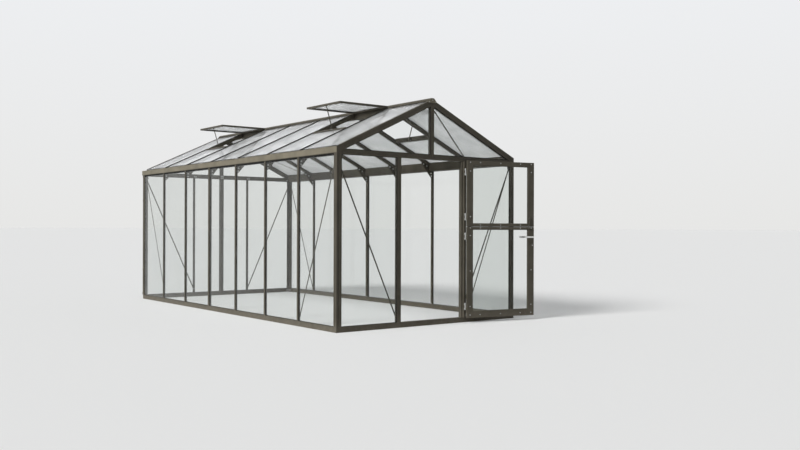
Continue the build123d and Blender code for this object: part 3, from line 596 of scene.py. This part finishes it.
def see_through(nodes, links, shader, tint, share):
    """Lets a share of the light straight through; the share is how much the surface keeps."""
    clear = nodes.new("ShaderNodeBsdfTransparent")
    clear.inputs["Color"].default_value = (*tint, 1)
    mix = nodes.new("ShaderNodeMixShader")
    links.new(share, mix.inputs["Fac"])
    links.new(clear.outputs["BSDF"], mix.inputs[1])
    links.new(shader.outputs["BSDF"], mix.inputs[2])
    links.new(mix.outputs["Shader"], nodes["Material Output"].inputs["Surface"])


def clear_pane(name):
    """Clear glass: it mirrors more at a slant, and carries a thin film of dust and dried drops."""
    material, nodes, links, shader, place = start_material(name)
    shader.inputs["Metallic"].default_value = 0.85
    dim = tuple(0.86 * part for part in GLASS_FILM)
    haze = grain(nodes, links, place, scale=2.2, detail=5.0)
    cloud = spread(nodes, links, haze, low=0, high=1)
    links.new(blend_colours(nodes, links, cloud, dim, GLASS_FILM), shader.inputs["Base Color"])
    smears = grain(nodes, links, place, scale=9.0, detail=5.0, stretch=(1, 1, 0.35))
    links.new(spread(nodes, links, smears, low=0.02, high=0.07), shader.inputs["Roughness"])
    waves = grain(nodes, links, place, scale=3.0, detail=1.0)
    roughen(nodes, links, shader, waves, strength=0.12, distance=0.0003)
    slant = nodes.new("ShaderNodeLayerWeight")
    steep = nodes.new("ShaderNodeMath")
    steep.operation = "POWER"
    links.new(slant.outputs["Facing"], steep.inputs[0])
    steep.inputs[1].default_value = 4.5
    dust = grain(nodes, links, place, scale=6.0, detail=6.0)
    film = spread(nodes, links, dust, low=0.006, high=0.016)
    share = nodes.new("ShaderNodeMath")
    share.operation = "ADD"
    share.use_clamp = True
    links.new(steep.outputs["Value"], share.inputs[0])
    links.new(film, share.inputs[1])
    see_through(nodes, links, shader, GLASS_TINT, share.outputs["Value"])
    return material


def milky_pane(name, through, glow, gloss, kept):
    """One skin of obscured glass, by how clear, milky and glossy it is and what it keeps."""
    material, nodes, links, shader, place = start_material(name)
    dim = tuple(0.96 * part for part in OPAL_BODY)
    haze = grain(nodes, links, place, scale=1.6, detail=4.0)
    cloud = spread(nodes, links, haze, low=0, high=1)
    links.new(blend_colours(nodes, links, cloud, dim, OPAL_BODY), shader.inputs["Base Color"])
    frosting = grain(nodes, links, place, scale=7.0, detail=4.0)
    links.new(spread(nodes, links, frosting, low=0.42, high=0.46), shader.inputs["Roughness"])
    shader.inputs["Subsurface Weight"].default_value = glow
    shader.inputs["Subsurface Radius"].default_value = (1.0, 1.0, 1.0)
    shader.inputs["Subsurface Scale"].default_value = 0.010
    shader.inputs["Transmission Weight"].default_value = through
    shader.inputs["IOR"].default_value = 1.15
    shader.inputs["Coat Weight"].default_value = gloss
    shader.inputs["Coat Roughness"].default_value = 0.05
    pattern = grain(nodes, links, place, scale=260.0, detail=2.0)
    roughen(nodes, links, shader, pattern, strength=0.15, distance=0.00005)
    streaks = grain(nodes, links, place, scale=5.0, detail=5.0)
    share = spread(nodes, links, streaks, low=kept - 0.04, high=kept + 0.04)
    see_through(nodes, links, shader, OPAL_BODY, share)
    return material


def obscure(panes):
    """Finishes sloping panes: a smooth skin to the weather, a patterned one to the room."""
    node = finish_node(panes, weather_skin, room_skin, edge_width=0.0005)
    for face in node.data.polygons:
        face.material_index = 0 if face.normal.z > 0.3 else 1


clear_glass = clear_pane("toughened_glass")
weather_skin = milky_pane("obscured_glass_outside", through=0.50, glow=1.0, gloss=1.0, kept=0.66)
room_skin = milky_pane("obscured_glass_inside", through=1.0, glow=0.0, gloss=0.0, kept=0.30)
for panes in ("glass_sides", "glass_front", "glass_back"):
    finish_node(panes, clear_glass, clear_glass, edge_width=0.0005)
obscure("glass_roof")

SEAL = ((0, 0), (0.0042, 0), (0.0042, 0.0010), (0.0030, 0.0022), (0.0010, 0.0022), (0, 0.0014))
GLASS_OUTER = 0.0045
GLASS_INNER = 0.0085
BEAM_FOOT = 1.818
WALL_PANES = (0.032, 5.154)
BAR_HALF = 0.016
WIDE_BAR_HALF = 0.023


def pane_span(bay, margin):
    """Where a wall pane starts and ends along the building, less a margin at each end."""
    near = WIDE_BAR_HALF if bay == WIDE_BAR + 1 else BAR_HALF
    far = WIDE_BAR_HALF if bay == WIDE_BAR else BAR_HALF
    starts = WALL_PANES[0] + margin if bay == 1 else station(bay - 1) + (near + margin)
    ends = WALL_PANES[1] - margin if bay == BAYS else station(bay) - (far + margin)
    return starts, ends


wall_seals = bmesh.new()
for side in (-1, 1):
    for bay in range(1, BAYS + 1):
        starts, ends = pane_span(bay, margin=0)
        for depth, out, top in ((GLASS_OUTER, side, GUTTER_FOOT), (GLASS_INNER, -side, BEAM_FOOT)):
            x = side * (WALL_FACE - depth)
            corners = [(x, starts, BASE_TOP), (x, ends, BASE_TOP), (x, ends, top), (x, starts, top)]
            bead(wall_seals, corners if out > 0 else corners[::-1], (out, 0, 0), SEAL)
make_piece("wall_glass_seals", wall_seals, rubber, "house")

# Head seals: a tall black rubber strip under each gutter, a real seal that also stands in as the
# gutter's painted shadow on the glass.
HEAD_SEAL_AS_SHADE = ((0, 0), (0.0035, 0), (0.0045, -0.006), (0.0035, -0.015), (0.0020, -0.017), (0, -0.017))
head_seals_as_shade = bmesh.new()
for side in (-1, 1):
    for bay in range(1, BAYS + 1):
        rings = []
        for y in pane_span(bay, margin=0.001):
            ring = []
            for out, up in HEAD_SEAL_AS_SHADE:
                ring.append((side * (WALL_FACE - GLASS_OUTER + out), y, GUTTER_FOOT + up))
            rings.append(ring)
        skin(head_seals_as_shade, rings)
make_piece("wall_head_seals_as_shade", head_seals_as_shade, rubber, "house")

TIE_FOOT = 1.824
TIE_TOP = 1.879
RAKE_FOOT = 0.063
KING_HALF = 0.023
PEAK = EAVES + (WALL_FACE - KING_HALF) * SLOPE - RAKE_FOOT / LEAN
PEAK_START = (TIE_TOP - EAVES + RAKE_FOOT / LEAN) / SLOPE
FRONT_PANES = ((-1.198, -0.481), (0.481, 1.198))
BACK_PANES = ((-1.198, -0.468), (-0.444, -0.027), (0.027, 0.444), (0.468, 1.198))
gable_seals = bmesh.new()
for face, into, bays in ((FRONT_WALL, 1, FRONT_PANES), (BACK_WALL, -1, BACK_PANES)):
    for depth, out in ((GLASS_OUTER, -into), (GLASS_INNER, into)):
        y = face + into * depth
        shapes = []
        for left, right in bays:
            foot = [(left, y, BASE_TOP), (right, y, BASE_TOP)]
            shapes.append(foot + [(right, y, TIE_FOOT), (left, y, TIE_FOOT)])
        for side in (-1, 1):
            king = side * KING_HALF
            low_corner = (side * (WALL_FACE - PEAK_START), y, TIE_TOP)
            outline = [low_corner, (king, y, TIE_TOP), (king, y, PEAK)]
            shapes.append(outline if side < 0 else outline[::-1])
        for shape in shapes:
            bead(gable_seals, shape if out < 0 else shape[::-1], (0, out, 0), SEAL)
make_piece("gable_glass_seals", gable_seals, rubber, "house")

VENT_BAYS = (2, 6)
SASH_TOP = 0.032
SASH_LENGTH = 0.659
SILL_PLACE = WALL_FACE - SASH_TOP - SASH_LENGTH * LEAN
SILL_DEPTH = 0.018
ROOF_PANES = (0.022, 5.164)
OUTER_FOOT, OUTER_HEAD, CAP_HALF = 0.036, 1.214, 0.012
INNER_HEAD, RAFTER_HALF = 1.242, 0.016
roof_seals = bmesh.new()
for side in (-1, 1):
    for bay in range(1, BAYS + 1):
        vent = bay in VENT_BAYS
        outer_head = SILL_PLACE if vent else OUTER_HEAD
        inner_head = SILL_PLACE - SILL_DEPTH if vent else INNER_HEAD
        for depth, out, foot, half, head in (
            (GLASS_OUTER, 1, OUTER_FOOT, CAP_HALF, outer_head),
            (GLASS_INNER, -1, BEAM_INNER, RAFTER_HALF, inner_head),
        ):
            starts = ROOF_PANES[0] if bay == 1 else station(bay - 1) + half
            ends = ROOF_PANES[1] if bay == BAYS else station(bay) - half
            corners = [
                roof_point(side, foot, starts, depth),
                roof_point(side, foot, ends, depth),
                roof_point(side, head, ends, depth),
                roof_point(side, head, starts, depth),
            ]
            normal = Vector((side * RISE, 0, LEAN)) * out
            bead(roof_seals, corners if side * out > 0 else corners[::-1], normal, SEAL)
make_piece("roof_glass_seals", roof_seals, rubber, "house")


# Roof vents. A sash of four rails holds its milky pane in seals and hangs from the ridge; a
# stay and a gas-filled opener on the sill hold it up level.
for sashes in ("vent_sashes_left", "vent_sashes_right"):
    finish_node(sashes, frame_paint, frame_edges, edge_width=0.0009)
for fittings in ("vent_sills", "vent_stays"):
    finish_node(fittings, frame_paint, frame_edges, edge_width=0.0006)
obscure("vent_glass")

VENT_PANE = (0.0666, 0.6746)
VENT_PANE_GAP = 0.048
OPENER_RADIUS = 0.014
OPENER = (
    (0.6, 0),
    (0.6, 0.004),
    (1, 0.006),
    (1, 0.094),
    (0.7, 0.102),
    (0.42, 0.104),
    (0.42, 0.150),
)
OPENER_REACH, OPENER_OFF, OPENER_DEPTH = 0.024, 0.030, 0.016
STAY_OFF = 0.050
STAY_HALF = 0.0045
STAY_EAR = 0.016
PIVOT_REACH, PIVOT_DEPTH = 0.022, 0.036
pane_low, pane_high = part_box("vent_glass")
vent_seals, openers, pivots = bmesh.new(), bmesh.new(), bmesh.new()
for side in (-1, 1):
    near, far = side * VENT_PANE[0], side * VENT_PANE[1]
    for bay in VENT_BAYS:
        starts, ends = station(bay - 1) + VENT_PANE_GAP, station(bay) - VENT_PANE_GAP
        level = [(near, starts), (far, starts), (far, ends), (near, ends)]
        level = level if side > 0 else level[::-1]
        for z, out in ((pane_high.z, 1), (pane_low.z, -1)):
            corners = [(x, y, z) for x, y in level]
            bead(vent_seals, corners if out > 0 else corners[::-1], (0, 0, out), SEAL)
        middle = (station(bay - 1) + station(bay)) / 2 + side * STAY_OFF
        foot = roof_point(side, SILL_PLACE + OPENER_REACH, middle - OPENER_OFF, OPENER_DEPTH)
        rings = [ring_of(OPENER_RADIUS * share, height, 24) for share, height in OPENER]
        skin(openers, rings, aim(foot, (0, 1, 0)))
        pivot_y = middle - STAY_HALF - STAY_EAR
        pivot = roof_point(side, SILL_PLACE + PIVOT_REACH, pivot_y, PIVOT_DEPTH)
        hex_bolt(pivots, pivot, (0, -1, 0), SMALL_BOLT)
make_piece("vent_glass_seals", vent_seals, rubber, "house")
make_piece("vent_openers", openers, frame_paint, "house")
make_piece("vent_pivot_bolts", pivots, galvanised, "house")


# Stable door. Two leaves of flat aluminium bar, held at corners and rails by small pan-head
# screws; each pane sits between a bevelled bead on its inner face and a rubber seal outside.
for leaf in ("upper_door_frame", "lower_door_frame"):
    finish_node(leaf, frame_paint, frame_edges, edge_width=0.0010)
for pane in ("upper_door_glass", "lower_door_glass"):
    finish_node(pane, clear_glass, clear_glass, edge_width=0.0005)

ALONG = Vector((0.9781476, -0.2079117, 0))
THROUGH = Vector((0.2079117, 0.9781476, 0))
HINGE_LINE = Vector((0.459, -0.057, 0))
LEAF_IN = -0.029
LEAF_OUT = -0.001
PANE_IN = -0.017
PANE_OUT = -0.013
BEAD = ((0, 0), (0.0050, 0), (0.0050, 0.0022), (0.0025, 0.0105), (0, 0.0105))
LEAF_OPENING = (0.083, 0.829)
LEAF_HEIGHTS = {"upper_door": (1.121, 1.785), "lower_door": (0.128, 1.055)}


def leaf_point(along, through, z):
    """A point of the open door: along the leaf from the hinge line, through it, and up."""
    return HINGE_LINE + ALONG * along + THROUGH * through + Vector((0, 0, z))


def leaf_bead(name, leaf, pane_face, out, outline, material):
    """A bead or seal round one leaf's pane, on one face."""
    mesh = bmesh.new()
    low, high = LEAF_HEIGHTS[leaf]
    near, far = LEAF_OPENING
    sill_to_head = ((near, low), (far, low), (far, high), (near, high))
    corners = [leaf_point(s, pane_face, z) for s, z in sill_to_head]
    bead(mesh, corners if out < 0 else corners[::-1], THROUGH * out, outline)
    make_piece(name, mesh, material, leaf)


for leaf in LEAF_HEIGHTS:
    leaf_bead(leaf + "_bead", leaf, PANE_IN, -1, BEAD, frame_paint)
    leaf_bead(leaf + "_seal", leaf, PANE_OUT, 1, SEAL, rubber)

STRIP_ENDS = (0.016, 0.908)
MEETING = (1.0866, 1.0910)
MEETING_STRIP = (
    (-0.0265, 1.0),
    (-0.0265, 0.4),
    (-0.0245, 0.0),
    (-0.0045, 0.0),
    (-0.0025, 0.4),
    (-0.0025, 1.0),
)
meeting_strip = bmesh.new()
rings = []
for along in STRIP_ENDS:
    ring = []
    for through, share in MEETING_STRIP:
        ring.append(leaf_point(along, through, MEETING[0] + share * (MEETING[1] - MEETING[0])))
    rings.append(ring)
skin(meeting_strip, rings)
make_piece("door_meeting_strip", meeting_strip, rubber, "upper_door")

TRIM = (
    (0.015, -0.0275),
    (0.0118, -0.0275),
    (0.0110, -0.0262),
    (0.0110, -0.0032),
    (0.0118, -0.0020),
    (0.015, -0.0020),
)
for name, heights, body in (
    ("upper_door_edge_trim", (1.093, 1.835), "upper_door"),
    ("lower_door_edge_trim", (0.054, 1.083), "lower_door"),
):
    mesh = bmesh.new()
    skin(mesh, [[leaf_point(s, t, z) for s, t in TRIM] for z in heights])
    make_piece(name, mesh, frame_paint, body)

DOOR_SCREW = 0.0060
SCREW_ROW = (0.049, 0.180, 0.450, 0.720, 0.869)
UPPER_SCREWS = [(s, 1.817) for s in SCREW_ROW]
UPPER_SCREWS += [(0.049, 1.717), (0.049, 1.200), (0.869, 1.723)]
UPPER_SCREWS += [(s, 1.106) for s in SCREW_ROW[1:4]]
LOWER_SCREWS = [(s, 1.072) for s in SCREW_ROW]
LOWER_SCREWS += [(0.049, 0.986), (0.049, 0.585), (0.049, 0.183), (0.869, 0.583), (0.869, 0.180)]
LOWER_SCREWS += [(s, 0.086) for s in SCREW_ROW]
for name, spots, body in (
    ("upper_door_screws", UPPER_SCREWS, "upper_door"),
    ("lower_door_screws", LOWER_SCREWS, "lower_door"),
):
    mesh = bmesh.new()
    for along, z in spots:
        pan_screw(mesh, leaf_point(along, LEAF_IN, z), -THROUGH, DOOR_SCREW)
        pan_screw(mesh, leaf_point(along, LEAF_OUT, z), THROUGH, DOOR_SCREW)
    make_piece(name, mesh, galvanised, body)


# Hinges. Each is a turned pin in three knuckles, with one plate screwed to the leaf's outer
# face; a domed button closes each end of the pin.
hinge_metal = bare_metal("brushed_aluminium", (0.74, 0.74, 0.72), roughness=0.28, scratch=0.02)
for hinge in ("hinge_knuckles_fixed", "hinge_leaves_upper", "hinge_leaves_lower"):
    finish_node(hinge, hinge_metal, hinge_metal, edge_width=0.0003)
HINGES = {"upper_door": (1.707, 1.198), "lower_door": (0.978, 0.182)}
PIN_HALF = 0.037
PIN_DOME = ((0.0068, 0), (0.0068, 0.0012), (0.0055, 0.0028), (0.0030, 0.0036))
HINGE_PLATE_FACE = 0.003
HINGE_SCREW_ALONG, HINGE_SCREW_RISE = 0.029, 0.009
caps = bmesh.new()
for body, middles in HINGES.items():
    plate_screws = bmesh.new()
    for middle in middles:
        for end in (-1, 1):
            turn = aim((HINGE_LINE.x, HINGE_LINE.y, middle + end * PIN_HALF), (0, 0, end))
            skin(caps, [ring_of(radius, height, 20) for radius, height in PIN_DOME], turn)
            screw_z = middle + end * HINGE_SCREW_RISE
            on_plate = leaf_point(HINGE_SCREW_ALONG, HINGE_PLATE_FACE, screw_z)
            pan_screw(plate_screws, on_plate, THROUGH, radius=0.0036)
    make_piece(body + "_hinge_screws", plate_screws, galvanised, body)
make_piece("hinge_pin_caps", caps, hinge_metal, "house")


# Lever handle and lock. Cast levers turn in a rose on each face, over a painted lock plate
# with a round cylinder.
finish_node("lever_handle", hinge_metal, hinge_metal, edge_width=0.0015)
SPINDLE = (0.874, 0.967)
ROSE_RADIUS = 0.0160
ROSE = ((0, 0), (0.0060, 0), (0.0060, 0.0024), (0.0048, 0.0034), (0.0012, 0.0028), (0, 0.0018))
LOCK = (0.885, 0.8705)
LOCK_PLATE_HALF, LOCK_PLATE_END, LOCK_PLATE_STEPS = 0.021, 0.0085, 12
LOCK_PLATE = ((1, 0), (1, 0.0018), (0.93, 0.0026))
CYLINDER = ((0.0052, 0.002), (0.0052, 0.0050), (0.0044, 0.0058))
roses, plates, lock = bmesh.new(), bmesh.new(), bmesh.new()
for face, out in ((LEAF_IN, -1), (LEAF_OUT, 1)):
    turn = aim(leaf_point(SPINDLE[0], face, SPINDLE[1]), THROUGH * out)
    rim = [turn @ Vector(point) for point in ring_of(ROSE_RADIUS, 0, 40)]
    bead(roses, rim, THROUGH * out, ROSE)
    turn = aim(leaf_point(LOCK[0], face, LOCK[1]), THROUGH * out)
    upright = turn.to_3x3().inverted() @ Vector((0, 0, 1))
    across = turn.to_3x3().inverted() @ ALONG
    outline = []
    for half in (1, -1):
        for index in range(LOCK_PLATE_STEPS + 1):
            angle = math.pi * index / LOCK_PLATE_STEPS
            aside = LOCK_PLATE_END * math.cos(angle) * half
            rise = LOCK_PLATE_HALF + LOCK_PLATE_END * math.sin(angle)
            outline.append(across * aside + upright * half * rise)
    lift = Vector((0, 0, 1))
    rings = []
    for share, height in LOCK_PLATE:
        rings.append([point * share + lift * height for point in outline])
    skin(plates, rings, turn)
    skin(lock, [ring_of(radius, height, 20) for radius, height in CYLINDER], turn)
make_piece("lever_roses", roses, frame_paint, "lower_door")
make_piece("lock_plates", plates, frame_paint, "lower_door")
make_piece("lock_cylinders", lock, hinge_metal, "lower_door")


# Slide bolt. A round rod runs in two guides on the upper leaf and drops into the keeper on
# the lower one; each block has ears screwed to the leaf.
for fitting in ("slide_bolt", "bolt_guides", "bolt_keeper"):
    finish_node(fitting, frame_paint, frame_edges, edge_width=0.0005)
BOLT_PLACE = 0.845
BLOCK_HALF = 0.008
EAR = 0.008
EAR_THICK = 0.0020
EAR_SCREW = 0.0045
for name, body, feet in (
    ("guide_ears", "upper_door", (1.103, 1.175)),
    ("keeper_ears", "lower_door", (1.067,)),
):
    ears, ear_screws = bmesh.new(), bmesh.new()
    for foot in feet:
        for end in (-1, 1):
            start = BOLT_PLACE + end * BLOCK_HALF
            tip = start + end * EAR
            shape = ((start, foot), (tip, foot + 0.001), (tip, foot + 0.007), (start, foot + 0.008))
            rings = []
            for height in (0, EAR_THICK):
                rings.append([leaf_point(s, LEAF_IN - height, z) for s, z in shape])
            skin(ears, rings)
            on_ear = leaf_point(start + end * EAR_SCREW, LEAF_IN - EAR_THICK, foot + 0.004)
            pan_screw(ear_screws, on_ear, -THROUGH, radius=0.0024)
    make_piece("bolt_" + name, ears, frame_paint, body)
    make_piece("bolt_" + name + "_screws", ear_screws, galvanised, body)


# Stage. A plain pale floor, a world of the same tone, one broad soft lamp from the left and
# the camera at the photograph's angle.
FLOOR_TONE = (0.86, 0.86, 0.85)
FLOOR_BOUNCE = (0.42, 0.42, 0.41)
FLOOR_RADIUS = 400.0
HORIZON = (0.80, 0.80, 0.79)
SURROUND = (0.86, 0.875, 0.90)
AMBIENT = 0.32
KEY_STRENGTH = 3.2
KEY_FROM = (-0.80, -0.08, 0.60)


def seen_by_eye(nodes, links):
    """One for what the camera sees, straight or in a gloss or through a pane, otherwise none."""
    path = nodes.new("ShaderNodeLightPath")
    seen = path.outputs["Is Camera Ray"]
    for ray in ("Is Glossy Ray", "Is Transmission Ray"):
        larger = nodes.new("ShaderNodeMath")
        larger.operation = "MAXIMUM"
        links.new(seen, larger.inputs[0])
        links.new(path.outputs[ray], larger.inputs[1])
        seen = larger.outputs["Value"]
    return seen


floor_mesh = bmesh.new()
bmesh.ops.create_circle(floor_mesh, cap_ends=True, radius=FLOOR_RADIUS, segments=96)
floor_data = bpy.data.meshes.new("floor")
floor_mesh.to_mesh(floor_data)
floor_mesh.free()
floor = bpy.data.objects.new("floor", floor_data)
bpy.context.scene.collection.objects.link(floor)
floor_paint, nodes, links, shader, _ = start_material("floor_paint")
shader.inputs["Roughness"].default_value = 0.85
floor_tone = blend_colours(nodes, links, seen_by_eye(nodes, links), FLOOR_BOUNCE, FLOOR_TONE)
links.new(floor_tone, shader.inputs["Base Color"])
floor_data.materials.append(floor_paint)

world = bpy.data.worlds.new("surround")
bpy.context.scene.world = world
world.use_nodes = True
nodes, links = world.node_tree.nodes, world.node_tree.links
background = nodes["Background"]
height = nodes.new("ShaderNodeSeparateXYZ")
direction = nodes.new("ShaderNodeTexCoord")
links.new(direction.outputs["Generated"], height.inputs["Vector"])
above = spread(nodes, links, height.outputs["Z"], low=0, high=1, from_low=0.0, from_high=0.30)
links.new(blend_colours(nodes, links, above, HORIZON, SURROUND), background.inputs["Color"])
strength = nodes.new("ShaderNodeMapRange")
strength.inputs["To Min"].default_value = AMBIENT
strength.inputs["To Max"].default_value = 1.0
links.new(seen_by_eye(nodes, links), strength.inputs["Value"])
links.new(strength.outputs["Result"], background.inputs["Strength"])

key_lamp = bpy.data.lights.new("key_lamp", "SUN")
key_lamp.energy = KEY_STRENGTH
key_lamp.angle = math.radians(24)
key = bpy.data.objects.new("key_lamp", key_lamp)
key.rotation_mode = "QUATERNION"
key.rotation_quaternion = Vector(KEY_FROM).to_track_quat("Z", "Y")
key.visible_glossy = False
bpy.context.scene.collection.objects.link(key)

camera_data = bpy.data.cameras.new("camera")
camera_data.lens = 39.31
camera_data.sensor_width = 36.0
camera_data.shift_y = 0.002
camera_data.clip_end = 900.0
camera = bpy.data.objects.new("camera", camera_data)
camera.location = (-6.152, -7.457, 1.0845)
camera.rotation_euler = (math.radians(90), math.radians(-0.185), math.radians(-37.5))
bpy.context.scene.collection.objects.link(camera)
bpy.context.scene.camera = camera
bpy.context.scene.view_settings.view_transform = "Standard"
bpy.context.scene.cycles.transparent_max_bounces = 24
